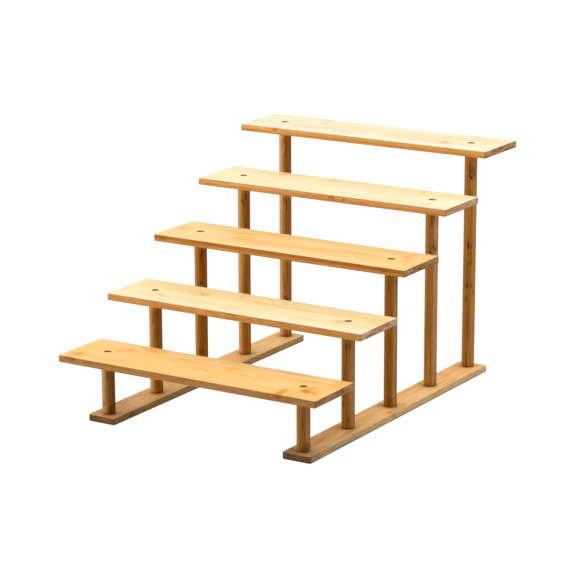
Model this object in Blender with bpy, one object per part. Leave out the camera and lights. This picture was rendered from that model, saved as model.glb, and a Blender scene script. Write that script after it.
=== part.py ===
# A tiered display shelf: five bamboo boards that climb like stairs, each screwed to two
# round posts, and the posts screwed to two flat rails that lie along the floor.
#
# Metres, +Z up. The front is -Y, left is -X, and tier 1 is the lowest, at the front.
# The origin is on the floor, under the middle of the whole shelf.

import math

import bmesh
import bpy

# Boards, all alike. Heights are of a board's top face above the floor.
tier_count = 5
board_length = 0.335
board_depth = 0.080
board_thickness = 0.008
board_ease = 0.0006
first_tier_height = 0.080
tier_rise = 0.050
tier_setback = 0.094

# Posts, cut from round dowel, under the middle of each board's depth.
post_diameter = 0.015
post_inset = 0.039
post_ease = 0.0005

# Rails on the floor. The overhang is past the axes of the first and the last post.
rail_width = 0.0365
rail_thickness = 0.008
rail_overhang = 0.0155
rail_corner_radius = 0.0025
rail_ease = 0.0008

# Flat-head wood screws with a cross recess, all alike, 4 mm across the thread.
screw_length = 0.025
screw_core_diameter = 0.0028
screw_tip_diameter = 0.0006
screw_tip_length = 0.005
head_diameter = 0.0078
head_height = 0.0025
head_rim_height = 0.0003
recess_width = 0.0011
recess_span = 0.0044
recess_depth = 0.0014
recess_floor_share = 0.45
screw_plain_length = 0.0075
thread_depth = 0.0006
thread_pitch = 0.0025
thread_runout = 0.0020
thread_row_shares = (0.0, 0.22, 0.44)
thread_crest_row = 1

# Holes for the screws. The heads lie this far under the wood's face.
head_sink = 0.0012
pilot_spare_depth = 0.0008
pilot_point_depth = 0.0005

# Clearance between pieces that touch, and how far a cutter runs past the face it cuts.
fit_gap = 0.0003
cut_overrun = 0.0020
weld_distance = 0.00001

# Sides of round shapes.
post_sides = 24
hole_sides = 20
head_sides = 20
thread_sides = 8
corner_segments = 3
sharp_angle = math.radians(35)

# Worked out from the sizes above.
post_radius = post_diameter / 2
post_offset = board_length / 2 - post_inset
rail_length = (tier_count - 1) * tier_setback + 2 * rail_overhang
head_radius = head_diameter / 2
core_radius = screw_core_diameter / 2
thread_radius = core_radius + thread_depth
thread_length = screw_length - head_height - screw_plain_length
hole_radius = thread_radius + fit_gap
sink_radius = head_radius + fit_gap

sides_of_shelf = {"left": -1, "right": 1}


for leftover in list(bpy.data.objects):
    bpy.data.objects.remove(leftover, do_unlink=True)


def make_material(name, color, roughness, metallic=0.0):
    material = bpy.data.materials.new(name)
    material.use_nodes = True
    shader = material.node_tree.nodes["Principled BSDF"]
    shader.inputs["Base Color"].default_value = (*color, 1.0)
    shader.inputs["Roughness"].default_value = roughness
    shader.inputs["Metallic"].default_value = metallic
    material.diffuse_color = (*color, 1.0)
    return material


def shade_round_sides(mesh):
    mesh.shade_smooth()
    mesh.set_sharp_from_angle(angle=sharp_angle)


def finish_mesh(bm, name):
    """Turn the bmesh into a mesh with outward faces and smooth round sides."""
    bmesh.ops.recalc_face_normals(bm, faces=bm.faces)
    mesh = bpy.data.meshes.new(name)
    bm.to_mesh(mesh)
    bm.free()
    shade_round_sides(mesh)
    return mesh


def place(name, mesh, material, location, parent=None, turned_over=False):
    """Add one named piece, hung from its tier's empty where it has one."""
    piece = bpy.data.objects.new(name, mesh)
    if not mesh.materials:
        mesh.materials.append(material)
    piece.location = location
    if turned_over:
        piece.rotation_euler.x = math.pi
    piece.parent = parent
    bpy.context.scene.collection.objects.link(piece)


def turn_profile(bm, profile, sides, x=0.0, y=0.0):
    """Spin (radius, height) points round an upright axis at (x, y)."""
    chain = [bm.verts.new((x + radius, y, height)) for radius, height in profile]
    edges = [bm.edges.new(pair) for pair in zip(chain, chain[1:])]
    bmesh.ops.spin(
        bm, geom=chain + edges, axis=(0, 0, 1), cent=(x, y, 0),
        angle=math.tau, steps=sides, use_merge=True,
    )
    bmesh.ops.remove_doubles(bm, verts=bm.verts, dist=weld_distance)


def cut_out(body, tool, name):
    """Take the tool's volume out of the body and return the mesh that is left."""
    pieces = []
    for mesh in (body, tool):
        piece = bpy.data.objects.new(mesh.name, mesh)
        bpy.context.scene.collection.objects.link(piece)
        pieces.append(piece)
    target, cutter = pieces
    cutter.hide_render = True
    cutter.display_type = "WIRE"
    boolean = target.modifiers.new("cut", "BOOLEAN")
    boolean.operation = "DIFFERENCE"
    boolean.solver = "EXACT"
    boolean.object = cutter
    depsgraph = bpy.context.evaluated_depsgraph_get()
    result = bpy.data.meshes.new_from_object(target.evaluated_get(depsgraph))
    result.name = name
    for piece in pieces:
        bpy.data.objects.remove(piece, do_unlink=True)
    shade_round_sides(result)
    return result


def slab(length, depth, thickness, ease, corner_radius=0.0):
    """A flat bar about the origin, its corners rounded in plan and its edges eased."""
    bm = bmesh.new()
    bmesh.ops.create_cube(bm, size=1.0)
    bmesh.ops.scale(bm, verts=bm.verts, vec=(length, depth, thickness))
    if corner_radius:
        upright = [e for e in bm.edges if abs(e.verts[0].co.z - e.verts[1].co.z) > thickness / 2]
        bmesh.ops.bevel(
            bm, geom=upright, offset=corner_radius, segments=corner_segments,
            profile=0.5, affect="EDGES", material=-1,
        )
    sharp = [e for e in bm.edges if e.calc_face_angle() > sharp_angle]
    bmesh.ops.bevel(
        bm, geom=sharp, offset=ease, segments=1, profile=0.5, affect="EDGES", material=-1,
    )
    return bm


def screw_hole_cutter(spots, thickness, name):
    """Sunk screw holes through a slab about the origin, opening upwards, at (x, y) spots."""
    bm = bmesh.new()
    face = thickness / 2
    rim = face - head_sink - head_rim_height
    throat = face - head_sink - head_height
    profile = [
        (0, face + cut_overrun),
        (sink_radius, face + cut_overrun),
        (sink_radius, rim),
        (hole_radius, throat),
        (hole_radius, -face - cut_overrun),
        (0, -face - cut_overrun),
    ]
    for x, y in spots:
        turn_profile(bm, profile, hole_sides, x, y)
    return finish_mesh(bm, name)


def board_mesh():
    spots = [(side * post_offset, 0) for side in sides_of_shelf.values()]
    blank = finish_mesh(slab(board_length, board_depth, board_thickness, board_ease), "board_blank")
    return cut_out(blank, screw_hole_cutter(spots, board_thickness, "board_holes"), "board")


def rail_mesh():
    """A rail as it lies when turned over, its sunk holes opening upwards."""
    spots = [(0, tier_place(tier)) for tier in range(1, tier_count + 1)]
    bar = slab(rail_width, rail_length, rail_thickness, rail_ease, rail_corner_radius)
    blank = finish_mesh(bar, "rail_blank")
    return cut_out(blank, screw_hole_cutter(spots, rail_thickness, "rail_holes"), "rail")


def pilot_depth(wood_thickness):
    """How far a screw sunk in wood of this thickness reaches into a post, and some spare."""
    return screw_length - (wood_thickness - head_sink) + pilot_spare_depth


def post_mesh(length, name):
    """A dowel standing on the origin, eased at both ends, with a pilot hole in each."""
    foot = pilot_depth(rail_thickness)
    top = length - pilot_depth(board_thickness)
    profile = [
        (0, foot + pilot_point_depth),
        (hole_radius, foot),
        (hole_radius, 0),
        (post_radius - post_ease, 0),
        (post_radius, post_ease),
        (post_radius, length - post_ease),
        (post_radius - post_ease, length),
        (hole_radius, length),
        (hole_radius, top),
        (0, top - pilot_point_depth),
    ]
    bm = bmesh.new()
    turn_profile(bm, profile, post_sides)
    return finish_mesh(bm, name)


def wind_thread(bm):
    """The threaded end of a screw, from its tip at the origin, as one skin of helical rows.

    A flat grid is wound round the axis: its columns go round and its rows climb one pitch
    a turn. Rows past either end are flattened onto it, and welding closes the seam.
    """
    rows_a_turn = len(thread_row_shares)
    turns = math.ceil(thread_length / thread_pitch) + 2
    rows = rows_a_turn * turns
    bmesh.ops.create_grid(bm, x_segments=thread_sides, y_segments=rows, size=0.5)
    for vert in bm.verts:
        column = round((vert.co.x + 0.5) * thread_sides)
        row = round((vert.co.y + 0.5) * rows)
        turn, part = divmod(row, rows_a_turn)
        climb = turn - 1 + thread_row_shares[part] + column / thread_sides
        height = min(max(climb * thread_pitch, 0), thread_length)
        taper = min(height / screw_tip_length, 1)
        runout = min((thread_length - height) / thread_runout, 1)
        radius = screw_tip_diameter / 2 * (1 - taper) + core_radius * taper
        if part == thread_crest_row:
            radius += thread_depth * taper * runout
        angle = math.tau * column / thread_sides
        vert.co = (radius * math.cos(angle), radius * math.sin(angle), height)
    bmesh.ops.remove_doubles(bm, verts=bm.verts, dist=weld_distance)


def open_loop(bm, height):
    """The free edges of the bmesh at this height."""
    return [
        e for e in bm.edges
        if e.is_boundary and all(abs(v.co.z - height) < weld_distance for v in e.verts)
    ]


def recess_cutter():
    """A cross that narrows as it goes down from just above the origin."""
    arm = recess_span / 2
    web = recess_width / 2
    corner = [(arm, -web), (arm, web), (web, web)]
    outline = []
    for quarter in range(4):
        turn = quarter * math.pi / 2
        for x, y in corner:
            outline.append((
                x * math.cos(turn) - y * math.sin(turn),
                x * math.sin(turn) + y * math.cos(turn),
                cut_overrun,
            ))
    bm = bmesh.new()
    lid = bm.faces.new([bm.verts.new(point) for point in outline])
    for drop, share in ((cut_overrun, 1.0), (recess_depth, recess_floor_share)):
        region = bmesh.ops.extrude_face_region(bm, geom=[lid, *lid.edges])
        fresh = [g for g in region["geom"] if isinstance(g, bmesh.types.BMVert)]
        bmesh.ops.translate(bm, verts=fresh, vec=(0, 0, -drop))
        bmesh.ops.scale(bm, verts=fresh, vec=(share, share, 1.0))
        lid = next(g for g in region["geom"] if isinstance(g, bmesh.types.BMFace))
    return finish_mesh(bm, "cross_recess")


def screw_mesh():
    """A screw hanging from the origin, which is the middle of its head's top face."""
    bm = bmesh.new()
    wind_thread(bm)
    bmesh.ops.translate(bm, verts=bm.verts, vec=(0, 0, -screw_length))
    turn_profile(
        bm,
        [(core_radius, -head_height), (head_radius, -head_rim_height), (head_radius, 0), (0, 0)],
        head_sides,
    )
    shank = open_loop(bm, thread_length - screw_length) + open_loop(bm, -head_height)
    bmesh.ops.bridge_loops(bm, edges=shank)
    bmesh.ops.holes_fill(bm, edges=open_loop(bm, -screw_length), sides=thread_sides)
    blank = finish_mesh(bm, "screw_blank")
    return cut_out(blank, recess_cutter(), "screw")


def tier_place(tier):
    """How far back the middle of a tier's board lies."""
    return (tier - (tier_count + 1) / 2) * tier_setback


def tier_height(tier):
    """The height of a tier's top face above the floor."""
    return first_tier_height + (tier - 1) * tier_rise


board_bamboo = make_material("board_bamboo", (0.74, 0.45, 0.18), 0.42)
post_bamboo = make_material("post_bamboo", (0.43, 0.21, 0.07), 0.50)
rail_bamboo = make_material("rail_bamboo", (0.56, 0.33, 0.14), 0.48)
screw_steel = make_material("screw_steel", (0.46, 0.33, 0.18), 0.35, 1.0)

board = board_mesh()
rail = rail_mesh()
screw = screw_mesh()

for side_name, side in sides_of_shelf.items():
    rail_middle = (side * post_offset, 0, rail_thickness / 2)
    place(f"base_rail_{side_name}", rail, rail_bamboo, rail_middle, turned_over=True)

for tier in range(1, tier_count + 1):
    tier_empty = bpy.data.objects.new(f"tier_{tier}", None)
    tier_empty.location = (0, tier_place(tier), 0)
    bpy.context.scene.collection.objects.link(tier_empty)

    board_top = tier_height(tier)
    board_middle = (0, 0, board_top - board_thickness / 2)
    place(f"tier_board_{tier}", board, board_bamboo, board_middle, tier_empty)

    post_foot = rail_thickness + fit_gap
    post_length = board_top - board_thickness - fit_gap - post_foot
    post = post_mesh(post_length, f"post_{tier}")
    for side_name, side in sides_of_shelf.items():
        x = side * post_offset
        place(f"post_{side_name}_{tier}", post, post_bamboo, (x, 0, post_foot), tier_empty)
        upper_head = (x, 0, board_top - head_sink)
        place(f"board_screw_{side_name}_{tier}", screw, screw_steel, upper_head, tier_empty)
        lower_head = (x, 0, head_sink)
        place(
            f"rail_screw_{side_name}_{tier}", screw, screw_steel, lower_head, tier_empty,
            turned_over=True,
        )
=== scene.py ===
import math

import bmesh
import bpy
from mathutils import Matrix, Vector


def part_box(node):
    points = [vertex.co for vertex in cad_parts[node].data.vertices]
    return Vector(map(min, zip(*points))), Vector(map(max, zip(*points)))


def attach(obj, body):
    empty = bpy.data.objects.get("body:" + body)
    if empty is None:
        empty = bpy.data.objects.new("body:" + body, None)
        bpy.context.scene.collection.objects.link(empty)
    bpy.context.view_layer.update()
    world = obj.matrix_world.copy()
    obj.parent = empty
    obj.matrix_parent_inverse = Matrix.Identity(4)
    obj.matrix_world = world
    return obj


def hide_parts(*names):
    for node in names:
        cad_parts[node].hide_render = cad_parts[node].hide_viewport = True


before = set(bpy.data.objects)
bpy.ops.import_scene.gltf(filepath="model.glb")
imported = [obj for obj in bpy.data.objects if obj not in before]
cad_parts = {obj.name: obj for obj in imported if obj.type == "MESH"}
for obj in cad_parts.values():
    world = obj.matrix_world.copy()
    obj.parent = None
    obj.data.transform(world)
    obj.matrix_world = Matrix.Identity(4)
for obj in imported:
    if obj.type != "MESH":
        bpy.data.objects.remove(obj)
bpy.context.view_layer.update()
print("frame loaded with", len(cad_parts), "nodes")

# The shelf stands on z = 0, its front towards -Y. Tier 1 is the lowest board, at the front.
mm = 0.001
tiers = range(1, 6)
sides = ("left", "right")
weldDistance = 0.01 * mm


# Studio and camera

camera = {
    "place": (1.430656, -2.30532, 0.838174),
    "azimuth": 31.963,  # degrees, how far round to the shelf's right
    "lookDown": 14.65,
    "roll": -0.165,
    "lens": 152.383,
    "sensor": 36.0,
    "reach": 50,  # metres
}

studio = {
    "backdropColor": (1.0, 1.0, 1.0),
    "fillStrength": 0.06,  # what the room itself gives matt surfaces
    "floorSize": 12.0,
    "floorColor": (0.62, 0.61, 0.6),
    "floorRoughness": 0.9,
    "floorSpecular": 0.0,
    "glowNear": 0.92,  # how far the floor looks plain white, under the shelf
    "glowFar": 1.0,  # and out where the lamps no longer reach
    "glowFrom": 0.45,  # metres from the middle
    "glowTo": 1.6,
    "glowStrength": 1.09,  # tops up the lamplit floor to white, which is 1 in all
}

# Soft boxes aimed at the shelf, with size and place in metres and power in watts
lampAim = (0, 0, 0.15)
lamps = {
    "overhead": ((2.0, 2.0), (0.0, 0.4, 1.9), 20.6),
    "overheadFront": ((1.4, 1.0), (-0.2, -1.2, 1.7), 8.5),
    "leftLow": ((1.0, 0.36), (-1.0, -0.1, 0.22), 5.1),
    "leftNear": ((0.8, 0.9), (-0.95, -0.1, 0.5), 2.2),
    "leftFrontLow": ((1.0, 0.5), (-1.2, -1.2, 0.3), 10.4),
    "leftFront": ((1.0, 1.0), (-1.3, -1.3, 1.0), 1.9),
    "leftBack": ((1.0, 1.0), (-1.2, 1.2, 0.7), 3.0),
    "right": ((1.2, 1.0), (1.5, 0.3, 0.55), 6.1),
    "rightHigh": ((1.0, 0.8), (1.2, 0.1, 1.2), 9.1),
    "rightFront": ((1.0, 1.0), (1.7, -0.8, 0.9), 1.8),
    "rightBack": ((1.0, 1.0), (1.2, 1.4, 0.7), 3.0),
}


def setUpCamera():
    data = bpy.data.cameras.new("camera")
    data.lens = camera["lens"]
    data.sensor_width = camera["sensor"]
    data.clip_end = camera["reach"]
    seat = bpy.data.objects.new("camera", data)
    seat.matrix_world = (
        Matrix.Translation(camera["place"])
        @ Matrix.Rotation(math.radians(camera["azimuth"]), 4, "Z")
        @ Matrix.Rotation(math.radians(90 - camera["lookDown"]), 4, "X")
        @ Matrix.Rotation(math.radians(camera["roll"]), 4, "Z")
    )
    bpy.context.scene.collection.objects.link(seat)
    bpy.context.scene.camera = seat


def setUpLamps():
    for name, (size, place, power) in lamps.items():
        data = bpy.data.lights.new(name, "AREA")
        data.shape = "RECTANGLE"
        data.size, data.size_y = size
        data.energy = power
        box = bpy.data.objects.new(name, data)
        facing = (Vector(lampAim) - Vector(place)).to_track_quat("-Z", "Y").to_matrix().to_4x4()
        box.matrix_world = Matrix.Translation(place) @ facing
        box.visible_camera = False
        bpy.context.scene.collection.objects.link(box)


# Some nodes' outputs, by number: a Texture Coordinate's normal and place, and a Noise Texture's colour
normalOutput = 1
objectOutput = 3
colorOutput = 1


# Shader maths as Python: a Value wraps one output socket

class Value:
    def __init__(self, look, socket):
        self.look = look
        self.socket = socket

    def __add__(self, other):
        return self.look.maths("ADD", self, other)

    __radd__ = __add__

    def __mul__(self, other):
        return self.look.maths("MULTIPLY", self, other)

    __rmul__ = __mul__

    def __sub__(self, other):
        return self.look.maths("SUBTRACT", self, other)

    def __rsub__(self, other):
        return self.look.maths("SUBTRACT", other, self)

    def __truediv__(self, other):
        return self.look.maths("DIVIDE", self, other)

    def __neg__(self):
        return self.look.maths("MULTIPLY", self, -1)

    def __abs__(self):
        return self.look.maths("ABSOLUTE", self)


# A Look is one node tree: node() adds any node, and the short methods below it save typing

class Look:
    def __init__(self, tree):
        self.tree = tree

    def node(self, kind, settings=None, inputs=None, output=0):
        made = self.tree.nodes.new("ShaderNode" + kind)
        for key, value in (settings or {}).items():
            setattr(made, key, value)
        for key, value in (inputs or {}).items():
            if isinstance(value, Value):
                self.tree.links.new(value.socket, made.inputs[key])
            else:
                made.inputs[key].default_value = value
        return Value(self, made.outputs[output])

    def maths(self, operation, *values):
        return self.node("Math", {"operation": operation}, dict(enumerate(values)))

    def least(self, first, *others):
        for other in others:
            first = self.maths("MINIMUM", first, other)
        return first

    def most(self, first, *others):
        for other in others:
            first = self.maths("MAXIMUM", first, other)
        return first

    def smooth(self, value, low, high, toLow=0.0, toHigh=1.0):
        ends = {"Value": value, "From Min": low, "From Max": high, "To Min": toLow, "To Max": toHigh}
        return self.node("MapRange", {"interpolation_type": "SMOOTHSTEP"}, ends)

    def vector(self, operation, *values, output=0):
        return self.node("VectorMath", {"operation": operation}, dict(enumerate(values)), output)

    def length(self, vector):
        return self.vector("LENGTH", vector, output=1)

    def split(self, vector):
        return [self.node("SeparateXYZ", None, {0: vector}, axis) for axis in range(3)]

    def joined(self, x, y, z):
        return self.node("CombineXYZ", None, {0: x, 1: y, 2: z})

    # Noise whose lumps have the given size along each axis
    def noise(self, place, lumps, detail, output=0):
        shrunk = self.vector("MULTIPLY", place, [1 / size for size in lumps])
        inputs = {"Vector": shrunk, "Scale": 1.0, "Detail": detail, "Roughness": 0.55}
        return self.node("TexNoise", None, inputs, output)

    # A Mix node has its colours at inputs 6 and 7 and gives their mix at output 2
    def mix(self, factor, first, second):
        return self.node("Mix", {"data_type": "RGBA"}, {0: factor, 6: first, 7: second}, 2)


def newLook(name):
    material = bpy.data.materials.new(name)
    material.use_nodes = True
    look = Look(material.node_tree)
    look.material = material
    look.shader = material.node_tree.nodes["Principled BSDF"]
    return look


# 1 for what the camera sees, straight or in gloss or glass, and 0 for the light that things get
def seenDirectly(look):
    path = look.node("LightPath").socket.node
    rays = ("Is Camera Ray", "Is Glossy Ray", "Is Transmission Ray")
    return look.most(*[Value(look, path.outputs[ray]) for ray in rays])


def setUpWorld():
    world = bpy.data.worlds.new("studio")
    world.use_nodes = True
    bpy.context.scene.world = world
    look = Look(world.node_tree)
    seen = seenDirectly(look)
    background = world.node_tree.nodes["Background"]
    background.inputs["Color"].default_value = (*studio["backdropColor"], 1)
    strength = seen + (1 - seen) * studio["fillStrength"]
    look.tree.links.new(strength.socket, background.inputs["Strength"])


def floorLook():
    look = newLook("floorPaper")
    look.shader.inputs["Base Color"].default_value = (*studio["floorColor"], 1)
    look.shader.inputs["Roughness"].default_value = studio["floorRoughness"]
    look.shader.inputs["Specular IOR Level"].default_value = studio["floorSpecular"]
    away = look.length(look.node("TexCoord", None, None, objectOutput))
    share = look.smooth(away, studio["glowFrom"], studio["glowTo"], studio["glowNear"], studio["glowFar"])
    light = {"Color": (*studio["backdropColor"], 1), "Strength": studio["glowStrength"]}
    glow = look.node("Emission", None, light)
    surface = Value(look, look.shader.outputs[0])
    paper = look.node("MixShader", None, {0: seenDirectly(look) * share, 1: surface, 2: glow})
    look.tree.links.new(paper.socket, look.tree.nodes["Material Output"].inputs["Surface"])
    return look.material


def layFloor():
    bm = bmesh.new()
    bmesh.ops.create_grid(bm, x_segments=1, y_segments=1, size=studio["floorSize"] / 2)
    mesh = bpy.data.meshes.new("floor")
    bm.to_mesh(mesh)
    bm.free()
    mesh.materials.append(floorLook())
    floor = bpy.data.objects.new("floor", mesh)
    bpy.context.scene.collection.objects.link(floor)


scene = bpy.context.scene
scene.view_settings.view_transform = "Standard"
setUpCamera()
setUpLamps()
setUpWorld()
layFloor()
print("studio ready")


def middleOf(node):
    return sum(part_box(node), Vector()) / 2


# Where each post stands, by side and tier, and the posts that each board and each rail meets
postSpots = {(side, tier): middleOf(f"post_{side}_{tier}") for side in sides for tier in tiers}
boardPosts = {tier: [(side, tier) for side in sides] for tier in tiers}
railPosts = {side: [(side, tier) for tier in tiers] for side in sides}


# Bamboo. All patterns are in millimetres on Object coordinates, which are the shelf's own. A span says
# where a pattern starts to show and where it shows in full, a range what it gives at 0 and at 1, and a
# share how much of it goes into a mix or a sum.

# Noise in the flat bars' wood: the size of its lumps along, across and through the bar, its detail, and
# for some its span
barNoise = {
    "wander": ((100, 20, 1000), 1.0),  # how the strips' borders stray
    "blotch": ((8, 1.7, 3), 3.0, 0.35, 0.62),
    "ripple": ((7, 7, 10), 2.0),
    "cloud": ((80, 28, 50), 2.0),
    "patch": ((9, 6, 2.2), 4.0),
    "layer": ((50, 5, 1.1), 2.0),
    "cutLayer": ((40, 20, 0.9), 2.0),
    "cutClump": ((40, 5, 1.6), 4.0),
}

# The same for the patterns that bend round the growth marks
barGrain = {
    "fibre": ((45, 0.45, 0.45), 3.0),
    "band": ((150, 3.2, 3.2), 2.0),
    "dash": ((7, 0.3, 0.3), 1.0, 0.66, 0.76),
    "stroke": ((55, 1.3, 1.3), 2.0, 0.48, 0.66),
}

bamboo = {
    "seedSteps": (40, 15, 5),  # how far the seed moves the patterns along each axis

    "strayShare": 0.06,  # of a strip's width
    "plyKey": 3.7,  # tells the lower layer's strips from the upper one's
    "seamSpan": (0.485, 0.5),  # strip widths from a strip's middle
    "seamShare": 0.22,
    "seamColor": (0.36, 0.16, 0.04, 1),

    "warpNoise": ((7, 7, 10), 2.0),
    "warpReach": (9, 9, 3),  # millimetres, how far the growth marks' outlines stray
    "markSpan": (1.0, 0.3),  # half sizes from a mark's middle
    "markDown": 4.0,  # millimetres, how far down the marks on a face go
    "edgeMarkReach": 5.0,  # and how far in those on a long edge
    "markRange": (0.8, 1.3),  # a mark's strength, by its blotches
    "bendRange": (0.6, 4.6),  # millimetres, how far the fibres bend off and on a mark
    "coreSpan": (0.9, 1.9),
    "coreShare": 0.6,
    "markStart": 0.45,  # a mark shows this much of its depth, and more on its streaks
    "markShares": {"fibre": 0.5, "stroke": 0.6},

    # A deeper shade loses green faster than red, and blue fastest. The faces' figure and marks are
    # golden more than brown, the golden strips are hardly darker at all, and pale cut fibres are grey.
    "shadePowers": (1.0, 2.2, 5.0),
    "facePowers": (0.7, 2.0, 5.5),
    "goldPowers": (0.3, 4.0, 12.0),
    "strokePowers": (1.0, 1.6, 3.0),
    "sawnPowers": (1.0, 1.3, 2.0),
    "markPowers": (0.55, 1.55, 5.2),
    "edgeMarkPowers": (0.9, 1.5, 2.3),

    "toneShares": {"strip": 0.25, "fibre": 0.3, "band": 0.5, "cloud": 0.6},
    "toneStart": -0.42,
    "toneSpan": (0.0, 0.9),
    "figureChanges": (0.045, -0.07),  # from the face's own shade to its palest and its deepest
    "goldRipple": 10.0,
    "goldSpan": (-8, 24),  # millimetres back from the middle
    "goldDepth": 0.97,
    "strokeDepth": 0.7,

    "streakShares": {"layer": 0.5, "patch": 0.3, "fibre": 0.2},
    "streakSpan": (0.34, 0.66),
    "edgeChanges": (1.16, 0.86),  # a long edge's palest and deepest streaks

    "dotScale": (0.05, 1.4, 1.4),  # cut fibre tips to the millimetre
    "dotSpan": (0.5, 0.1),
    "dotShare": 0.35,
    "dotDepth": 0.65,
    "sawnShares": {"cutLayer": 0.45, "cutClump": 0.4, "strip": 0.15},
    "sawnSpan": (0.36, 0.64),
    "sawnDepths": (1.42, 0.68, 0.6),  # at its palest, at its deepest and in the lower layer
    "lowerSawnShare": 0.25,

    "sideSpan": (0.45, 0.8),  # how squarely a face must look to a side to be in its finish
    "markDepths": (0.7, 0.46),  # of a growth mark and of its core
    "edgeMarkDepth": 0.62,
    "dashRange": (0.12, 0.62),  # how dark the short fibre ends are, off and on a mark
    "dashColor": (0.36, 0.15, 0.04, 1),

    "rubbedSpan": (0.8, 0.1),  # millimetres from the nearest edge
    "rubbedRange": (0.05, 0.45),
    "rubbedColor": (0.34, 0.17, 0.055, 1),
    "rimSpan": (1.6, 0.2),  # and for the darker rims there
    "rimShares": {"onEdge": 0.12, "onEnd": 0.32},
    "rimAndShadeRange": (0.5, 1.5),  # how the darker rims and the rails' painted shadows vary in patches
    # the dark brown of the darker rims, and of the rails' painted shade and shadows
    "rimAndShadeColor": (0.13, 0.065, 0.025, 1),

    "holeShadeSpan": (4.62, 4.4),  # millimetres from the middle of a sunk hole, to its walls, which get painted shade
    "holeShadeShare": 0.72,
    "holeShadeColor": (0.24, 0.12, 0.035, 1),

    "footShadowSpan": (10.5, 7.6),  # millimetres from a post's middle, a painted shadow on a rail there
    "footShadowShare": 0.55,
    "footReflection": (22, 15, 0.5),  # a painted golden reflection of the post round its foot, drawn as a growth mark
    "floorShadeSpan": (-4.8, -7.6),  # millimetres up from a rail's top, painted shade low on its sides above the floor
    "floorShadeSideSpan": (0.3, 0.7),
    "floorShadeRange": (0.35, 0.95),
    "frontSpan": (213.5, 40),  # millimetres back from a rail's front end, where a painted shadow of the boards above darkens it
    "tipSpan": (45, 5),  # and where it is so most of all

    "glossShares": {"fibre": 0.12, "mark": 0.08, "rubbed": 0.1},
    "reliefShares": {"fibre": 0.5, "band": 0.5, "dash": -0.6, "seam": -0.8, "mark": 0.6},
    "roughness": 0.49,  # where nothing roughens it
    "sockets": {"Specular IOR Level": 0.1},
    "bumpHeight": 0.12 * mm,
    "bumpStrength": 0.25,
}


# A shade of one wood. A depth above 1 is paler, and one below 1 is deeper.
def shade(color, depth, powers=bamboo["shadePowers"]):
    return (*[part * depth ** power for part, power in zip(color, powers)], 1)


# A sum of some patterns at a point, each times its share
def blend(point, shares, start=0.0):
    total = start
    for name, share in shares.items():
        total = point[name] * share + total
    return total


# What goes from one value to another as a pattern goes from 0 to 1
def between(pattern, atZero, atOne):
    return pattern * (atOne - atZero) + atZero


def inMillimetres(look):
    return look.vector("MULTIPLY", look.node("TexCoord", None, None, objectOutput), [1 / mm] * 3)


def patterns(look, place, noises):
    made = {}
    for name, (lumps, detail, *span) in noises.items():
        made[name] = look.noise(place, lumps, detail)
        if span:
            made[name] = look.smooth(made[name], *span)
    return made


# Soft marks in the wood, whose outlines stray. Each has a middle, a half size along each axis, and how
# deep it goes in all.
def markMask(look, place, seeded, sizes, marks):
    warp = look.vector("SUBTRACT", look.noise(seeded, *sizes["warpNoise"], colorOutput), (0.5, 0.5, 0.5))
    warped = look.vector("MULTIPLY_ADD", warp, sizes["warpReach"], place)
    deepest = None
    for middle, half, depth in marks:
        shares = [-part / size for part, size in zip(middle, half)]
        away = look.length(look.vector("MULTIPLY_ADD", warped, [1 / size for size in half], shares))
        mask = look.smooth(away, *bamboo["markSpan"], 0.0, depth)
        deepest = mask if deepest is None else look.most(deepest, mask)
    return deepest


# How far a place is from the nearest of some upright axes
def nearestAxis(look, place, axes):
    flat = look.vector("MULTIPLY", place, (1, 1, 0))
    return look.least(*[look.length(look.vector("SUBTRACT", flat, (*axis, 0))) for axis in axes])


# What a look has goes on its shader: a Value is linked, a number is set
def finish(look, point, color, sizes):
    relief = blend(point, sizes["reliefShares"])
    bump = {"Height": relief, "Distance": sizes["bumpHeight"], "Strength": sizes["bumpStrength"]}
    gloss = blend(point, sizes["glossShares"], sizes["roughness"])
    sockets = {"Base Color": color, "Roughness": gloss, "Normal": look.node("Bump", None, bump)}
    for name, value in {**sockets, **sizes["sockets"]}.items():
        socket = look.shader.inputs[name]
        if isinstance(value, Value):
            look.tree.links.new(value.socket, socket)
        else:
            socket.default_value = value
    return look.material


board = {
    "easeRadius": 0.6 * mm,
    "easeSegments": 3,
    "cornerRadius": 1.5 * mm,
    "cornerSegments": 4,
    "stripWidth": 20.0,  # millimetres, the bamboo strips that are glued side by side
    "upperPly": 4.4,  # millimetres, the thickness of the upper layer of strips
}

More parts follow.
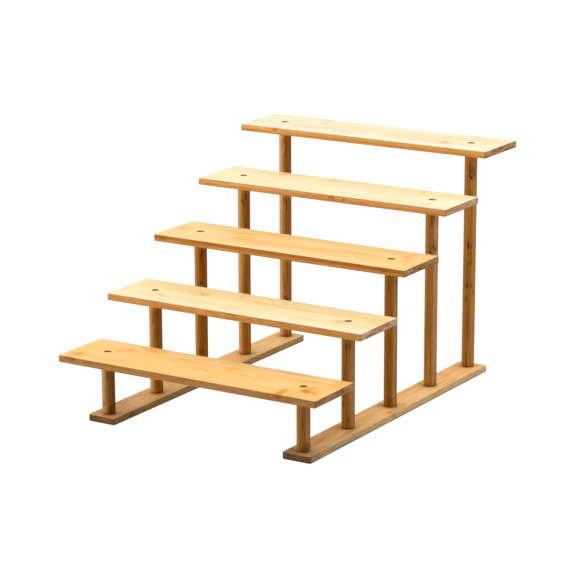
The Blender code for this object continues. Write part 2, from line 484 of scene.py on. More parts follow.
# Each board's own wood: its face, its long edges and its sawn ends, how much paler the lower layer is
# than the upper, how golden the back strips are, and how strong the figure and the strokes in it are.
# Marks are where growth nodes show, in millimetres to the right of the middle of the board's top and
# back from it, with half sizes along and across and a depth. Edge marks are on the front edge, to the
# right and down.
boardWood = {
    1: {
        "face": (0.9, 0.558, 0.195), "edge": (0.456, 0.202, 0.045), "sawn": (0.285, 0.155, 0.049),
        "lowerDepth": 1.0, "gold": 0.02, "figure": 1.5, "strokes": 0.6, "seed": 3.1,
        "marks": (
            (140, -13, 9, 6, 1.9), (141, -4, 5, 13, 1.0), (146, -16, 15, 5, 1.3), (142, -10, 24, 15, 0.4),
            (119, -30, 7, 20, 1.2), (-110, 20, 8, 8, 0.9), (-117, 8, 9, 6, 0.7), (-114, 15, 20, 14, 0.4),
            (27, 16, 14, 18, 0.3), (-151, -25, 14, 12, 0.9), (-6, -6, 36, 5, 0.4), (98, 36, 34, 8, 0.4),
            (162, 30, 18, 28, 0.5), (-84, 30, 22, 18, 0.5),
        ),
        "edgeMarks": ((122, 1.5, 6, 3.5, 1.0), (-151, 2, 13, 3.5, 1.0), (-128, 2, 8, 3, 0.4)),
    },
    2: {
        "face": (0.9, 0.732, 0.421), "edge": (0.65, 0.314, 0.073), "sawn": (0.396, 0.271, 0.145),
        "lowerDepth": 0.9, "gold": 0.68, "figure": 1.3, "strokes": 0.4, "seed": 7.7,
        "marks": (
            (-69, 13, 10, 5, 1.0), (-80, 16, 32, 14, 0.35), (-100, 20, 70, 18, 0.15), (40, 13, 120, 5, 0.4),
            (-25, 30, 8, 14, 0.4), (-110, -13, 8, 6, 0.5), (-13, -22, 8, 13, 0.3), (123, -6, 14, 12, 0.55),
            (149, 14, 12, 8, 0.35), (130, 22, 44, 16, 0.12),
        ),
        "edgeMarks": ((121, 1.5, 3, 3, 0.6), (72, 2, 20, 3, 0.25), (-150, 3.5, 20, 2, 0.25)),
    },
    3: {
        "face": (0.9, 0.6, 0.238), "edge": (0.447, 0.148, 0.013), "sawn": (0.268, 0.148, 0.05),
        "lowerDepth": 1.2, "gold": 0.0, "figure": 1.5, "strokes": 0.8, "seed": 12.3,
        "marks": (
            (-66, -2, 22, 20, 0.45), (-80, 18, 14, 18, 0.25), (-20, -8, 50, 12, 0.25), (77, 3, 42, 6, 0.6),
            (40, -5, 16, 10, 0.35), (141, 20, 5, 18, 0.6), (148, 2, 10, 12, 0.5), (-155, 4, 18, 12, 0.6),
            (70, 26, 90, 14, 0.2),
        ),
        "edgeMarks": (
            (140, 2, 14, 3, 0.9), (110, 2, 10, 2.5, 0.7), (-156, 2.5, 10, 4, 0.6), (-90, 2, 30, 2, 0.35),
            (30, 1.5, 30, 1.5, 0.4),
        ),
    },
    4: {
        "face": (0.9, 0.787, 0.519), "edge": (0.695, 0.343, 0.086), "sawn": (0.378, 0.25, 0.131),
        "lowerDepth": 0.85, "gold": 0.7, "figure": 1.2, "strokes": 0.24, "seed": 18.9,
        "marks": (
            (-21, 31, 5, 13, 0.5), (103, 29, 6, 15, 0.55), (110, 16, 4, 12, 0.25), (-88, 31, 14, 10, 0.55),
            (12, -24, 8, 8, 0.15),
        ),
        "edgeMarks": (
            (18, 2.6, 4, 3.2, 2.2), (33.5, 4, 3.6, 2.6, 1.6), (-118, 5, 12, 3, 0.3), (-36, 4, 5, 3, 0.3),
        ),
    },
    5: {
        "face": (0.86, 0.757, 0.49), "edge": (0.745, 0.362, 0.08), "sawn": (0.298, 0.167, 0.068),
        "lowerDepth": 0.82, "gold": 0.15, "figure": 1.6, "strokes": 0.16, "seed": 24.4,
        "marks": (
            (-86, 30, 9, 14, 0.35), (-80, 12, 8, 12, 0.2), (101, -15, 7, 7, 1.1), (101, -14, 12, 12, 0.4),
            (-118, -38, 9, 8, 0.5), (-165, -10, 6, 10, 0.6),
        ),
        "edgeMarks": ((-118, 2, 4, 4, 0.9), (-154, 5.5, 16, 1.8, 0.8), (-90, 6.5, 40, 1.5, 0.4)),
    },
}

rail = {
    "easeRadius": 1.2 * mm,
    "easeSegments": 3,
    "cornerRadius": 3.5 * mm,
    "cornerSegments": 6,
    "stripWidth": 17.5,
    "upperPly": 4.0,
}

# The rails' wood, as for the boards, with marks to the back of the middle and to the left of it, and
# how much the painted shadow of the boards above darkens the front part and the tip in front
railWood = {
    "left": {
        "face": (0.83, 0.505, 0.17), "edge": (0.396, 0.227, 0.06), "sawn": (0.24, 0.108, 0.017),
        "lowerDepth": 1.0, "gold": 0.0, "figure": 2.0, "strokes": 1.2, "seed": 31.7,
        "frontShadow": 0.18, "tipShadow": 0.18,
        "marks": ((-150, 8, 7, 12, 0.5), (-38, -9, 7, 12, 0.5), (96, 8, 7, 12, 0.5)),
        "edgeMarks": ((-170, 4, 10, 6, 0.5),),
    },
    "right": {
        "face": (0.88, 0.536, 0.184), "edge": (0.52, 0.32, 0.125), "sawn": (0.23, 0.106, 0.017),
        "lowerDepth": 1.0, "gold": 0.0, "figure": 2.0, "strokes": 1.2, "seed": 47.3,
        "frontShadow": 0.36, "tipShadow": 0.65,
        "marks": ((-22, -14, 9, 9, 0.7), (12, -8, 8, 12, 0.4), (140, 9, 8, 12, 0.5)),
        "edgeMarks": ((-22, 3, 8, 4, 0.5),),
    },
}


# What is known at a point of a flat bar: its place from the middle of the top, how squarely its face looks
# to the ends and the long edges, and the patterns there. The grain runs along Y in a rail.
def barPoint(look, node, sizes, wood, posts, alongY):
    low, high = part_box(node)
    middle, half = (low + high) / 2 / mm, (high - low) / 2 / mm
    x, y, up = look.split(look.vector("SUBTRACT", inMillimetres(look), (middle.x, middle.y, high.z / mm)))
    facing = look.split(look.node("TexCoord", None, None, normalOutput))
    squareX, squareY = abs(facing[0]), abs(facing[1])
    spots = [postSpots[key] / mm - middle for key in posts]
    if alongY:
        x, y, squareX, squareY, half = y, -x, squareY, squareX, half.yxz
    holes = [(spot.y, -spot.x) if alongY else (spot.x, spot.y) for spot in spots]
    place = look.joined(x, y, up)
    seeded = look.vector("ADD", place, [wood["seed"] * step for step in bamboo["seedSteps"]])
    point = {
        "along": x, "across": y, "up": up, "half": half, "endOn": squareX, "edgeOn": squareY,
        "onEnd": look.smooth(squareX, *bamboo["sideSpan"]),
        "onEdge": look.smooth(squareY, *bamboo["sideSpan"]),
        "fromHole": nearestAxis(look, place, holes), **patterns(look, seeded, barNoise),
    }

    # strips: their borders wander a little, and the lower layer lies half a strip over
    point["lower"] = lower = look.maths("LESS_THAN", up, -sizes["upperPly"])
    stray = (point["wander"] - 0.5) * bamboo["strayShare"]
    strip = y / sizes["stripWidth"] + lower * 0.5 + stray
    point["seam"] = look.smooth(abs(look.maths("FRACT", strip) - 0.5), *bamboo["seamSpan"])
    stripKey = look.joined(look.maths("FLOOR", strip) + wood["seed"], lower * bamboo["plyKey"], 0.0)
    point["strip"] = look.node("TexWhiteNoise", {"noise_dimensions": "2D"}, {"Vector": stripKey})
    dotPlace = look.vector("MULTIPLY", seeded, bamboo["dotScale"])
    dots = look.node("TexVoronoi", None, {"Vector": dotPlace, "Scale": 1.0})
    point["dot"] = look.smooth(dots, *bamboo["dotSpan"])

    # growth marks, and on a rail a painted reflection of each post round its foot: the fibres bend round
    # them
    postReflections = [(*hole, *bamboo["footReflection"]) for hole in holes] if alongY else []
    marks = [
        ((a, c, 0), (halfA, halfC, bamboo["markDown"]), depth)
        for a, c, halfA, halfC, depth in (*wood["marks"], *postReflections)
    ]
    marks += [
        ((a, -half.y, -down), (halfA, bamboo["edgeMarkReach"], halfD), depth)
        for a, down, halfA, halfD, depth in wood["edgeMarks"]
    ]
    mark = markMask(look, place, seeded, bamboo, marks)
    point["mark"] = mark * between(point["blotch"], *bamboo["markRange"])
    point["ripple"] -= 0.5
    bend = point["ripple"] * between(point["mark"], *bamboo["bendRange"])
    bent = look.vector("ADD", seeded, look.joined(0.0, bend, 0.0))
    point.update(patterns(look, bent, barGrain))

    # rubbed edges: how far the point is from the bar's nearest edge
    toEnd, toEdge, toFace = half.x - abs(x), half.y - abs(y), look.least(-up, up + 2 * half.z)
    rim = look.least(look.most(toEnd, toEdge), toFace)
    point["nearEdge"] = look.most(look.least(toEnd, toEdge), rim)
    point["rubbed"] = look.smooth(point["nearEdge"], *bamboo["rubbedSpan"])
    return point


# The top and the underside: pale and deep strands, golden strips to the back, and darker strokes
def faceColor(look, wood, point):
    tone = look.smooth(blend(point, bamboo["toneShares"], bamboo["toneStart"]), *bamboo["toneSpan"])
    depths = [1 + change * wood["figure"] for change in bamboo["figureChanges"]]
    face = look.mix(tone, *[shade(wood["face"], depth, bamboo["facePowers"]) for depth in depths])
    back = point["across"] + point["ripple"] * bamboo["goldRipple"]
    gold = look.smooth(back, *bamboo["goldSpan"], 0.0, wood["gold"])
    face = look.mix(gold, face, shade(wood["face"], bamboo["goldDepth"], bamboo["goldPowers"]))
    strokes = point["stroke"] * point["cloud"] * wood["strokes"]
    return look.mix(strokes, face, shade(wood["face"], bamboo["strokeDepth"], bamboo["strokePowers"]))


# The long edges, where the two layers show
def edgeColor(look, wood, point):
    streak = look.smooth(blend(point, bamboo["streakShares"]), *bamboo["streakSpan"])
    upper, lower = [
        look.mix(streak, *[shade(wood["edge"], depth * change) for change in bamboo["edgeChanges"]])
        for depth in (1, wood["lowerDepth"])
    ]
    return look.mix(point["lower"], upper, lower)


# The sawn ends, where the fibres' cut tips show as dots
def sawnColor(look, wood, point):
    tone = look.smooth(blend(point, bamboo["sawnShares"]), *bamboo["sawnSpan"])
    palest, deepest, lower = bamboo["sawnDepths"]
    sawn = look.mix(tone, shade(wood["sawn"], palest, bamboo["sawnPowers"]), shade(wood["sawn"], deepest))
    sawn = look.mix(point["lower"] * bamboo["lowerSawnShare"], sawn, shade(wood["sawn"], lower))
    return look.mix(point["dot"] * bamboo["dotShare"], sawn, shade(wood["sawn"], bamboo["dotDepth"]))


# Growth marks, short dark fibre ends and seams over the wood's own colour
def markedColor(look, wood, point, color):
    shades = [shade(wood["face"], depth, bamboo["markPowers"]) for depth in bamboo["markDepths"]]
    core = look.smooth(point["mark"], *bamboo["coreSpan"], 0.0, bamboo["coreShare"])
    deepFace = look.mix(core, *shades)
    deepSide = shade(wood["edge"], bamboo["edgeMarkDepth"], bamboo["edgeMarkPowers"])
    deep = look.mix(look.most(point["onEdge"], point["onEnd"]), deepFace, deepSide)
    showing = point["mark"] * blend(point, bamboo["markShares"], bamboo["markStart"])
    color = look.mix(look.least(showing, 1.0), color, deep)
    dashes = point["dash"] * between(point["mark"], *bamboo["dashRange"])
    color = look.mix(dashes, color, bamboo["dashColor"])
    return look.mix(point["seam"] * bamboo["seamShare"], color, bamboo["seamColor"])


# Rubbed edges, darker rims along the sides, and painted shade on the sunk holes' walls
def wornAndShadedColor(look, point, color):
    rubbed = point["rubbed"] * between(point["cloud"], *bamboo["rubbedRange"])
    color = look.mix(rubbed, color, bamboo["rubbedColor"])
    rim = look.smooth(point["nearEdge"], *bamboo["rimSpan"]) * blend(point, bamboo["rimShares"])
    color = look.mix(rim * between(point["patch"], *bamboo["rimAndShadeRange"]), color, bamboo["rimAndShadeColor"])
    # painted shade on the walls of the sunk holes
    drilled = look.smooth(point["fromHole"], *bamboo["holeShadeSpan"], 0.0, bamboo["holeShadeShare"])
    return look.mix(drilled, color, bamboo["holeShadeColor"])


# A rail's painted shade: a shadow round the posts' feet, shade low on its sides above the floor, and the
# lower boards' shadow towards its front end
def railShade(look, wood, point, color):
    # painted shadow round each post's foot
    footShadow = look.smooth(point["fromHole"], *bamboo["footShadowSpan"]) * point["patch"]
    color = look.mix(footShadow * bamboo["footShadowShare"], color, bamboo["rimAndShadeColor"])
    # painted shade low on the rail's sides, above the floor
    onSide = look.smooth(look.most(point["edgeOn"], point["endOn"]), *bamboo["floorShadeSideSpan"])
    low = look.smooth(point["up"], *bamboo["floorShadeSpan"]) * onSide
    color = look.mix(low * between(point["patch"], *bamboo["floorShadeRange"]), color, bamboo["rimAndShadeColor"])
    # painted shadow of the lower boards over the rail's front part and its tip
    fromFront = point["along"] + point["half"].x
    parts = ("front", "tip")
    shadows = [look.smooth(fromFront, *bamboo[part + "Span"], 0.0, wood[part + "Shadow"]) for part in parts]
    patched = look.most(*shadows) * between(point["patch"], *bamboo["rimAndShadeRange"])
    return look.mix(patched, color, bamboo["rimAndShadeColor"])


# The finish of one flat bar, given the posts that meet it
def barLook(name, node, sizes, wood, posts, alongY=False):
    look = newLook(name)
    point = barPoint(look, node, sizes, wood, posts, alongY)
    color = look.mix(point["onEdge"], faceColor(look, wood, point), edgeColor(look, wood, point))
    color = look.mix(point["onEnd"], color, sawnColor(look, wood, point))
    color = wornAndShadedColor(look, point, markedColor(look, wood, point, color))
    if alongY:
        color = railShade(look, wood, point, color)
    return finish(look, point, color, bamboo)


# Noise in the posts' wood, with lump sizes across twice and then up
postNoise = {
    "ripple": ((4, 4, 8), 2.0),
    "warmth": ((2.2, 2.2, 70), 3.0),
}

# The same for the patterns that bend round the flaws
postGrain = {
    "fibre": ((0.5, 0.5, 30), 3.0),
    "streak": ((1.2, 1.2, 90), 2.0, 0.36, 0.62),
    "band": ((3.0, 3.0, 140), 2.0),
    "vein": ((0.8, 0.8, 60), 1.0, 0.62, 0.7),
    "dash": ((0.35, 0.35, 6), 1.0, 0.62, 0.72),
}

post = {
    "sides": 48,
    "easeRadius": 0.5 * mm,
    "easeSteps": 4,

    "tierSeed": 31.7,
    "sideSeed": {"left": 0.0, "right": 13.3},
    "seedSteps": (1, 2, 7),
    "warpNoise": ((2.5, 2.5, 4), 2.0),
    "warpReach": (1.2, 1.2, 4),
    "bendRange": (0.4, 3.4),  # millimetres, how far the fibres bend off and on a flaw

    "rightTurn": 28,  # degrees, the way from each post's left to its right
    "joint": 2.5,  # millimetres, how gradually its two strips meet
    "stray": 4.0,  # and how far their joint wanders
    "wood": (0.373, 0.157, 0.022),
    "shadePowers": (1.0, 1.4, 2.3),
    "toneShares": {"fibre": 0.3, "streak": 0.5, "band": 0.6},
    "toneStart": -0.15,
    "strandChanges": (1.28, 0.72),  # from a post's own depth to its palest and its deepest
    "tints": ((0.98, 1.01, 1.35), (1.03, 0.88, 0.5)),  # of the duller strands and of the redder ones
    "warmLean": {"left": -0.05, "right": 0.22},  # how much more of the redder strands to the left; on the right posts it also paints a duller sheen on the right
    "warmSpan": (0.36, 0.64),

    "sheenAt": {"left": -5.2, "right": 4.3},  # millimetres to the right of the middle, a painted sheen as a paler, greyer strip
    "sheenHalf": 3.0,
    "sheenRange": (1.3, 0.7),  # from the palest tone to the deepest
    "sheenColor": (0.55, 0.36, 0.2, 1),

    "outerFrom": 4.9,  # millimetres from the middle, where painted shade starts to darken the outer sides
    "outerShare": 0.34,
    "endReach": 6.0,  # and from its foot and its head, how far the painted shade there goes
    "footShare": 0.62,
    "headShare": 0.45,
    # the colour of that painted shade
    "paintedShadeTone": (0.14, 0.05, 0.01, 1),

    "veinShare": 0.25,
    "dashRange": (0.16, 0.76),  # how dark the short fibre ends are, off and on a flaw
    "scarRange": (0.6, 1.4),  # how deep a flaw goes, by its fibres
    "scar": (0.095, 0.028, 0.002, 1),

    "roughness": 0.4,
    "glossShares": {"fibre": 0.16, "scar": 0.15},
    "reliefShares": {"fibre": 0.6, "streak": 0.4, "dash": -0.4, "vein": -0.3, "scar": -0.7},
    "sockets": {"Specular IOR Level": 0.07},
    "bumpHeight": 0.12 * mm,
    "bumpStrength": 0.25,
}

# Each post's wood: how deep its colour is to the left and to the right, partly as painted light and shade,
# how strong its painted sheen is, how much green and blue it keeps, and its flaws. A flaw has its height
# in millimetres, which way round it is in degrees, its half height and half width, and its depth.
postWood = {
    "left_1": {"depths": (1.3, 0.9), "sheen": 0.22, "tint": (1.12, 1.4), "flaws": (
        (20, 250, 5, 6, 0.3), (14, 335, 9, 6, 0.5), (52, 300, 8, 1.2, 0.4),
    )},
    "left_2": {"depths": (1.5, 1.04), "sheen": 0.24, "tint": (0.96, 0.7), "flaws": (
        (102, 290, 9, 5, 0.3), (105, 312, 4, 3, 0.35), (95, 275, 5, 1.6, 0.5), (20, 300, 8, 5, 0.4),
        (48, 40, 6, 6, 0.4),
    )},
    "left_3": {"depths": (1.03, 0.98), "sheen": 0.2, "tint": (0.93, 0.2), "flaws": (
        (157, 318, 4, 3, 0.6), (150, 305, 8, 1.5, 0.5), (119, 300, 3, 1.5, 0.6), (121, 314, 4, 1.5, 0.5),
        (35, 300, 8, 5, 0.4), (58, 100, 6, 5, 0.4),
    )},
    "left_4": {"depths": (1.4, 1.02), "sheen": 0.5, "tint": (0.93, 0.5), "flaws": (
        (200, 288, 3, 3, 0.6), (196, 300, 6, 1.6, 0.5), (205, 320, 7, 1.5, 0.5), (172, 322, 8, 2, 0.4),
        (92, 318, 8, 3, 0.35), (90, 120, 7, 6, 0.4),
    )},
    "left_5": {"depths": (1.36, 1.00), "sheen": 0.75, "tint": (0.92, 0.85), "flaws": (
        (258, 290, 5, 3, 0.35), (239, 294, 3, 1.6, 0.35), (228, 290, 10, 1.5, 0.4), (182, 300, 5, 3, 0.5),
        (176, 312, 7, 1.5, 0.5), (185, 285, 4, 1.5, 0.5), (72, 296, 10, 1.5, 0.5), (82, 288, 12, 1.5, 0.4),
        (59, 300, 4, 3, 0.7), (57, 316, 3, 3, 0.6), (150, 120, 7, 6, 0.4),
    )},
    "right_1": {"depths": (1.2, 0.94), "sheen": 0.27, "tint": (1.12, 1.5), "flaws": (
        (14, 334, 9, 7, 0.5), (12, 300, 5, 5, 0.35), (40, 296, 14, 1.2, 0.4),
    )},
    "right_2": {"depths": (0.94, 0.97), "sheen": 0.22, "tint": (1.0, 1.0), "flaws": (
        (103, 293, 6, 5, 0.35), (38, 256, 6, 2.5, 0.7), (52, 270, 12, 2, 0.5), (18, 300, 8, 4, 0.35),
        (40, 100, 6, 5, 0.4),
    )},
    "right_3": {"depths": (0.95, 0.9), "sheen": 0.27, "tint": (0.97, 0.5), "flaws": (
        (150, 280, 12, 2, 0.5), (80, 288, 20, 2, 0.4), (15, 290, 7, 5, 0.3), (66, 150, 6, 5, 0.4),
    )},
    "right_4": {"depths": (1.18, 0.98), "sheen": 0.52, "tint": (1.0, 1.1), "flaws": (
        (207, 296, 12, 3, 0.5), (176, 316, 4, 2.4, 0.8), (173, 332, 4, 2.4, 0.8), (183, 322, 4, 1.8, 0.6),
        (170, 292, 2.5, 4, 0.6), (174, 322, 11, 7, 0.35), (60, 80, 7, 6, 0.4),
    )},
    "right_5": {"depths": (1.11, 1.02), "sheen": 0.1, "tint": (0.98, 0.85), "flaws": (
        (250, 288, 13, 3.2, 0.45), (248, 298, 7, 1.5, 0.9), (241.3, 287, 2.2, 2.2, 0.9),
        (239.8, 303, 2.8, 2, 1.0), (244, 330, 5, 2.6, 0.7), (250, 320, 5, 1.6, 0.7), (245, 315, 11, 6, 0.3),
        (222, 296, 6, 2, 0.35), (158.5, 285, 7, 1.5, 1.9), (158, 288, 9, 3, 0.2), (157, 314, 4, 1.4, 0.7),
        (137, 304, 4, 3, 0.45), (142, 314, 8, 2, 0.35), (148, 312, 5, 1.4, 0.5),
        (109.5, 279, 4.5, 2.6, 0.7), (112, 294, 3, 2, 0.4), (109, 316, 6, 1.5, 0.55),
        (111, 290, 7, 7, 0.25), (101, 338, 6, 1.6, 0.7), (93, 272, 6, 1.8, 0.55), (20, 278, 14, 2, 0.4),
        (60, 288, 26, 2.4, 0.35),
    )},
}


# What is known at a point of a post: how far to the right of the middle it is, how near the outer sides,
# the foot and the head, and the patterns there
def postPoint(look, side, tier):
    key = f"{side}_{tier}"
    low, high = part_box(f"post_{key}")
    middle, radius = (low + high) / 2 / mm, (high.x - low.x) / 2 / mm
    place = look.vector("SUBTRACT", inMillimetres(look), (middle.x, middle.y, 0))
    seed = tier * post["tierSeed"] + post["sideSeed"][side]
    seeded = look.vector("ADD", place, [seed * step for step in post["seedSteps"]])
    point = patterns(look, seeded, postNoise)

    marks = []
    for height, around, halfHeight, halfWidth, depth in postWood[key]["flaws"]:
        turn = math.radians(around)
        spot = (radius * math.cos(turn), radius * math.sin(turn), height)
        marks.append((spot, (halfWidth, halfWidth, halfHeight), depth))
    point["scar"] = markMask(look, place, seeded, post, marks)

    point["ripple"] -= 0.5
    bend = point["ripple"] * between(point["scar"], *post["bendRange"])
    bent = look.vector("ADD", seeded, look.joined(bend, bend, 0.0))
    point.update(patterns(look, bent, postGrain))

    turn = math.radians(post["rightTurn"])
    point["right"] = look.vector("DOT_PRODUCT", place, (math.cos(turn), math.sin(turn), 0), output=1)
    point["outer"] = look.smooth(abs(point["right"]), post["outerFrom"], radius)
    height, foot, head = look.split(place)[2], low.z / mm, high.z / mm
    point["foot"] = look.smooth(height, foot + post["endReach"], foot)
    point["head"] = look.smooth(height, head - post["endReach"], head)
    return point


def postLook(side, tier):
    look = newLook(f"post_bamboo_{side}_{tier}")
    wood = postWood[f"{side}_{tier}"]
    point = postPoint(look, side, tier)

    # duller and redder strands, each pale or deep, in two strips side by side, which also paint light and
    # shade on the post's two sides
    sideways = point["right"] + (point["ripple"] + point["band"] - 0.5) * post["stray"]
    rightward = look.smooth(sideways, -post["joint"], post["joint"])
    tone = look.least(blend(point, post["toneShares"], post["toneStart"]), 1.0)
    leaning = (0.5 - rightward) * post["warmLean"][side]
    warmth = look.smooth(point["warmth"] + leaning, *post["warmSpan"])
    strands = []
    for tint in post["tints"]:
        base = [part * own * other for part, own, other in zip(post["wood"], (1.0, *wood["tint"]), tint)]
        shades = [
            [shade(base, depth * change, post["shadePowers"]) for depth in wood["depths"]]
            for change in post["strandChanges"]
        ]
        strands.append(look.mix(tone, *[look.mix(rightward, *pair) for pair in shades]))
    color = look.mix(warmth, *strands)

    # a painted sheen: a paler, greyer strip down one side of the post
    sheen = look.smooth(abs(sideways - post["sheenAt"][side]), post["sheenHalf"], 0.0, 0.0, wood["sheen"])
    color = look.mix(sheen * between(tone, *post["sheenRange"]), color, post["sheenColor"])
    # painted shade on the outer sides, at the foot on the rail and at the head under the board
    paintedShade = look.most(*[point[part] * post[part + "Share"] for part in ("outer", "foot", "head")])
    color = look.mix(paintedShade, color, post["paintedShadeTone"])
    color = look.mix(point["vein"] * post["veinShare"], color, post["scar"])
    color = look.mix(point["dash"] * between(point["scar"], *post["dashRange"]), color, post["scar"])
    scar = point["scar"] * between(point["fibre"], *post["scarRange"])
    color = look.mix(look.least(scar, 1.0), color, post["scar"])
    return finish(look, point, color, post)


bronze = {
    "noise": {"speckle": ((0.45, 0.45, 0.45), 4.0), "worn": ((2, 2, 2), 2.0, 0.45, 0.7)},
    "wornShare": 0.6,
    "fresh": (0.6, 0.37, 0.13, 1),
    "worn": (0.36, 0.2, 0.06, 1),
    "speckleSpan": (0.58, 0.72),
    "speckleShare": 0.4,
    "speckle": (0.09, 0.05, 0.02, 1),
    "roughness": 0.32,
    "glossShares": {"worn": 0.14, "speckle": 0.08},
    "reliefShares": {"speckle": 1.0},
    "sockets": {"Metallic": 1.0},
    "bumpHeight": 0.03 * mm,
    "bumpStrength": 0.2,
}


def screwLook():
    look = newLook("screw_steel")
    point = patterns(look, inMillimetres(look), bronze["noise"])
    color = look.mix(point["worn"] * bronze["wornShare"], bronze["fresh"], bronze["worn"])
    speckles = look.smooth(point["speckle"], *bronze["speckleSpan"]) * bronze["speckleShare"]
    return finish(look, point, look.mix(speckles, color, bronze["speckle"]), bronze)


boardLooks = {
    tier: barLook(f"board_bamboo_{tier}", f"tier_board_{tier}", board, boardWood[tier], posts)
    for tier, posts in boardPosts.items()
}
railLooks = {
    side: barLook(f"rail_bamboo_{side}", f"base_rail_{side}", rail, railWood[side], posts, True)
    for side, posts in railPosts.items()
}
postLooks = {key: postLook(*key) for key in postSpots}
steel = screwLook()
print("finishes mixed:", len(bpy.data.materials))


# Shared steps for making pieces

smoothBelow = math.radians(50)  # faces that meet at less are shaded as one
rimAbove = math.radians(60)  # edges of a bar that turn by more are eased
faceWeight = 100  # makes the largest face set the shading


def linkUp(name, mesh):
    piece = bpy.data.objects.new(name, mesh)
    bpy.context.scene.collection.objects.link(piece)
    return piece


def meshFrom(bm, name):
    bmesh.ops.recalc_face_normals(bm, faces=bm.faces)
    mesh = bpy.data.meshes.new(name)
    bm.to_mesh(mesh)
    bm.free()
    return mesh


# Spin (radius, height) points round an upright axis at (x, y)
def turned(bm, profile, steps, x=0.0, y=0.0):
    chain = [bm.verts.new((x + radius, y, height)) for radius, height in profile]
    edges = [bm.edges.new(pair) for pair in zip(chain, chain[1:])]
    bmesh.ops.spin(
        bm, geom=chain + edges, axis=(0, 0, 1), cent=(x, y, 0),
        angle=math.tau, steps=steps, use_merge=True,
    )
    bmesh.ops.remove_doubles(bm, verts=bm.verts, dist=weldDistance)


# Take one mesh out of another and keep what is left
def cutAway(mesh, toolMesh, name):
    target, tool = linkUp(name, mesh), linkUp(name + "Tool", toolMesh)
    cut = target.modifiers.new("cut", "BOOLEAN")
    cut.operation = "DIFFERENCE"
    cut.solver = "EXACT"
    cut.object = tool
    evaluated = target.evaluated_get(bpy.context.evaluated_depsgraph_get())
    left = bpy.data.meshes.new_from_object(evaluated)
    left.name = name
    for done in (target, tool):
        bpy.data.objects.remove(done, do_unlink=True)
    return left


# Shade round parts smoothly while flat faces stay flat, then hand the piece to the frame
def finishPiece(name, mesh, material, place=(0, 0, 0), turnedOver=False):
    mesh = mesh.copy()
    mesh.name = name
    if turnedOver:
        mesh.transform(Matrix.Rotation(math.pi, 4, "X"))
    mesh.transform(Matrix.Translation(place))
    mesh.materials.clear()
    mesh.materials.append(material)
    mesh.shade_smooth()
    mesh.set_sharp_from_angle(angle=smoothBelow)
    piece = linkUp(name + "_look", mesh)
    weighted = piece.modifiers.new("flat faces", "WEIGHTED_NORMAL")
    weighted.weight = faceWeight
    weighted.keep_sharp = True
    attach(piece, "root")
    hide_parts(name)
    return piece


# A flat bar about the origin, with rounded corners in plan and eased edges all round
def bar(size, sizes):
    bm = bmesh.new()
    bmesh.ops.create_cube(bm, size=1.0)
    bmesh.ops.scale(bm, verts=bm.verts, vec=size)
    upright = [edge for edge in bm.edges if abs(edge.verts[0].co.z - edge.verts[1].co.z) > size.z / 2]
    bmesh.ops.bevel(
        bm, geom=upright, offset=sizes["cornerRadius"], segments=sizes["cornerSegments"],
        profile=0.5, affect="EDGES", material=-1,
    )
    rims = [edge for edge in bm.edges if edge.calc_face_angle() > rimAbove]
    bmesh.ops.bevel(
        bm, geom=rims, offset=sizes["easeRadius"], segments=sizes["easeSegments"],
        profile=0.5, affect="EDGES", material=-1,
    )
    return bm


# Screws, and the sunk holes that they sit in

screw = {
    "headHeight": 2.5 * mm,
    "headRim": 0.3 * mm,
    "headSides": 40,
    "coreRadius": 1.4 * mm,
    "tipRadius": 0.3 * mm,
    "tipLength": 5.0 * mm,
    "plainLength": 7.5 * mm,
    "threadDepth": 0.6 * mm,
    "pitch": 2.5 * mm,
    "runout": 2.0 * mm,
    "rowShares": (0.0, 0.2, 0.3, 0.5),
    "crestRows": (1, 2),
    "threadSides": 14,
    "crossSpan": 4.4 * mm,
    "crossWidth": 1.1 * mm,
    "crossDepth": 1.4 * mm,
    "crossFloor": 0.45,
    "spare": 2.0 * mm,  # how far a cutter runs past the face it cuts
}

hole = {
    "gap": 0.3 * mm,
    "rimEase": 0.2 * mm,
    "sides": 48,
}

screwLow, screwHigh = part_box("board_screw_left_1")
boardLow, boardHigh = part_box("tier_board_1")
screwLength = screwHigh.z - screwLow.z
headRadius = (screwHigh.x - screwLow.x) / 2
headSink = boardHigh.z - screwHigh.z
boreRadius = screw["coreRadius"] + screw["threadDepth"] + hole["gap"]


# A grid wound round the screw's axis, with one turn more at each end that the limits on height fold flat
def windThread(bm):
    around, rowsATurn = screw["threadSides"], len(screw["rowShares"])
    threadLength = screwLength - screw["headHeight"] - screw["plainLength"]
    rows = rowsATurn * (math.ceil(threadLength / screw["pitch"]) + 2)
    bmesh.ops.create_grid(bm, x_segments=around, y_segments=rows, size=0.5)
    for vert in bm.verts:
        column = round((vert.co.x + 0.5) * around)
        turn, part = divmod(round((vert.co.y + 0.5) * rows), rowsATurn)
        climb = turn - 1 + screw["rowShares"][part] + column / around
        height = min(max(climb * screw["pitch"], 0), threadLength)
        taper = min(height / screw["tipLength"], 1)
        radius = screw["tipRadius"] * (1 - taper) + screw["coreRadius"] * taper
        if part in screw["crestRows"]:
            radius += screw["threadDepth"] * taper * min((threadLength - height) / screw["runout"], 1)
        angle = math.tau * column / around
        vert.co = (radius * math.cos(angle), radius * math.sin(angle), height - screwLength)
    bmesh.ops.remove_doubles(bm, verts=bm.verts, dist=weldDistance)


def openLoop(bm, height):
    return [
        edge for edge in bm.edges
        if edge.is_boundary and all(abs(vert.co.z - height) < weldDistance for vert in edge.verts)
    ]


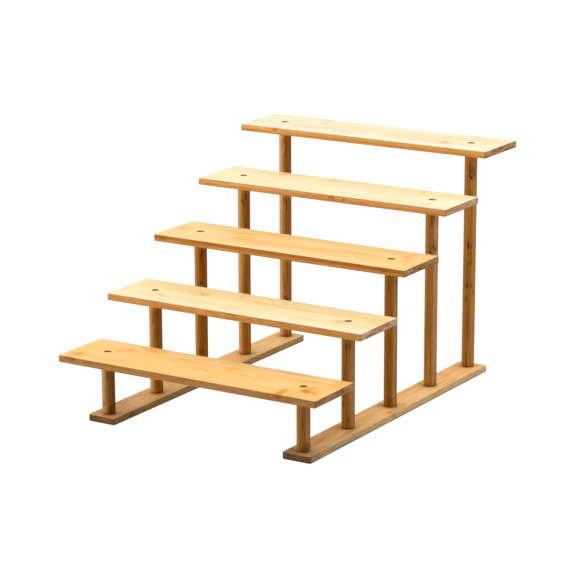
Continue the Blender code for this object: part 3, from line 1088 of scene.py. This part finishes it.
# The cross recess tool: a plus sign drawn down and narrowed
def crossTool():
    arm, web = screw["crossSpan"] / 2, screw["crossWidth"] / 2
    bm = bmesh.new()
    outline = []
    for quarter in range(4):
        turn = Matrix.Rotation(quarter * math.pi / 2, 3, "Z")
        for corner in ((arm, -web), (arm, web), (web, web)):
            outline.append(bm.verts.new(turn @ Vector((*corner, screw["spare"]))))
    lid = bm.faces.new(outline)
    for drop, share in ((screw["spare"], 1.0), (screw["crossDepth"], screw["crossFloor"])):
        region = bmesh.ops.extrude_face_region(bm, geom=[lid, *lid.edges])["geom"]
        fresh = [part for part in region if isinstance(part, bmesh.types.BMVert)]
        bmesh.ops.translate(bm, verts=fresh, vec=(0, 0, -drop))
        bmesh.ops.scale(bm, verts=fresh, vec=(share, share, 1))
        lid = next(part for part in region if isinstance(part, bmesh.types.BMFace))
    return meshFrom(bm, "crossTool")


# A screw hanging from the origin, which is the middle of its head's top
def screwMesh():
    bm = bmesh.new()
    windThread(bm)
    rim = screw["headRim"]
    turned(bm, [
        (screw["coreRadius"], -screw["headHeight"]), (headRadius, -rim), (headRadius, -rim / 3),
        (headRadius - rim / 2, 0), (0, 0),
    ], screw["headSides"])
    shank = openLoop(bm, -screw["headHeight"] - screw["plainLength"]) + openLoop(bm, -screw["headHeight"])
    bmesh.ops.bridge_loops(bm, edges=shank)
    bmesh.ops.holes_fill(bm, edges=openLoop(bm, -screwLength), sides=screw["threadSides"])
    return cutAway(meshFrom(bm, "screwBlank"), crossTool(), "screw")


# Tools for the sunk holes of a bar about the origin, opening upwards
def holeTool(places, thickness):
    face, spare, ease = thickness / 2, screw["spare"], hole["rimEase"]
    sinkRadius = headRadius + hole["gap"]
    profile = [
        (0, face + spare), (sinkRadius + ease, face + spare), (sinkRadius + ease, face),
        (sinkRadius, face - ease), (sinkRadius, face - headSink - screw["headRim"]),
        (boreRadius, face - headSink - screw["headHeight"]), (boreRadius, -face - spare),
        (0, -face - spare),
    ]
    bm = bmesh.new()
    for x, y in places:
        turned(bm, profile, hole["sides"], x, y)
    return meshFrom(bm, "holeTool")


screwBody = screwMesh()
families = (("board_screw", False), ("rail_screw", True))
for tier in tiers:
    for side in sides:
        for family, turnedOver in families:
            name = f"{family}_{side}_{tier}"
            low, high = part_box(name)
            head = (low + high) / 2
            head.z = low.z if turnedOver else high.z
            finishPiece(name, screwBody, steel, head, turnedOver)
print("screws driven:", len(tiers) * len(sides) * len(families))


# Boards, and drilled bars in general. A rail's sunk holes open upwards until it is turned over.

def drilledBar(name, sizes, posts, turnedOver=False):
    low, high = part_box(name)
    size, spots = high - low, [postSpots[key] - middleOf(name) for key in posts]
    places = [(spot.x, -spot.y if turnedOver else spot.y) for spot in spots]
    return cutAway(meshFrom(bar(size, sizes), "blank"), holeTool(places, size.z), "drilled")


oneBoard = drilledBar("tier_board_1", board, boardPosts[1])
for tier in tiers:
    name = f"tier_board_{tier}"
    finishPiece(name, oneBoard, boardLooks[tier], middleOf(name))
print("boards laid:", len(tiers))


# Posts: dowels with eased ends and a pilot hole in each end

pilot = {
    "spare": 0.8 * mm,
    "point": 0.5 * mm,
}


def postMesh(low, high):
    radius = (high.x - low.x) / 2
    depth = screwLength - (boardHigh.z - boardLow.z - headSink) + pilot["spare"]
    ease = post["easeRadius"]
    turns = [math.pi / 2 * step / post["easeSteps"] for step in range(post["easeSteps"] + 1)]
    foot = [(radius - ease + ease * math.sin(turn), low.z + ease * (1 - math.cos(turn))) for turn in turns]
    top = [(point[0], high.z + low.z - point[1]) for point in reversed(foot)]
    profile = [
        (0, low.z + depth + pilot["point"]), (boreRadius, low.z + depth), (boreRadius, low.z),
        *foot, *top,
        (boreRadius, high.z), (boreRadius, high.z - depth), (0, high.z - depth - pilot["point"]),
    ]
    bm = bmesh.new()
    turned(bm, profile, post["sides"])
    return meshFrom(bm, "post")


for (side, tier), spot in postSpots.items():
    name = f"post_{side}_{tier}"
    finishPiece(name, postMesh(*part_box(name)), postLooks[side, tier], (spot.x, spot.y, 0))
print("posts stood:", len(postSpots))


# Rails

for side in sides:
    name = f"base_rail_{side}"
    oneRail = drilledBar(name, rail, railPosts[side], True)
    finishPiece(name, oneRail, railLooks[side], middleOf(name), True)
print("rails laid:", len(sides))
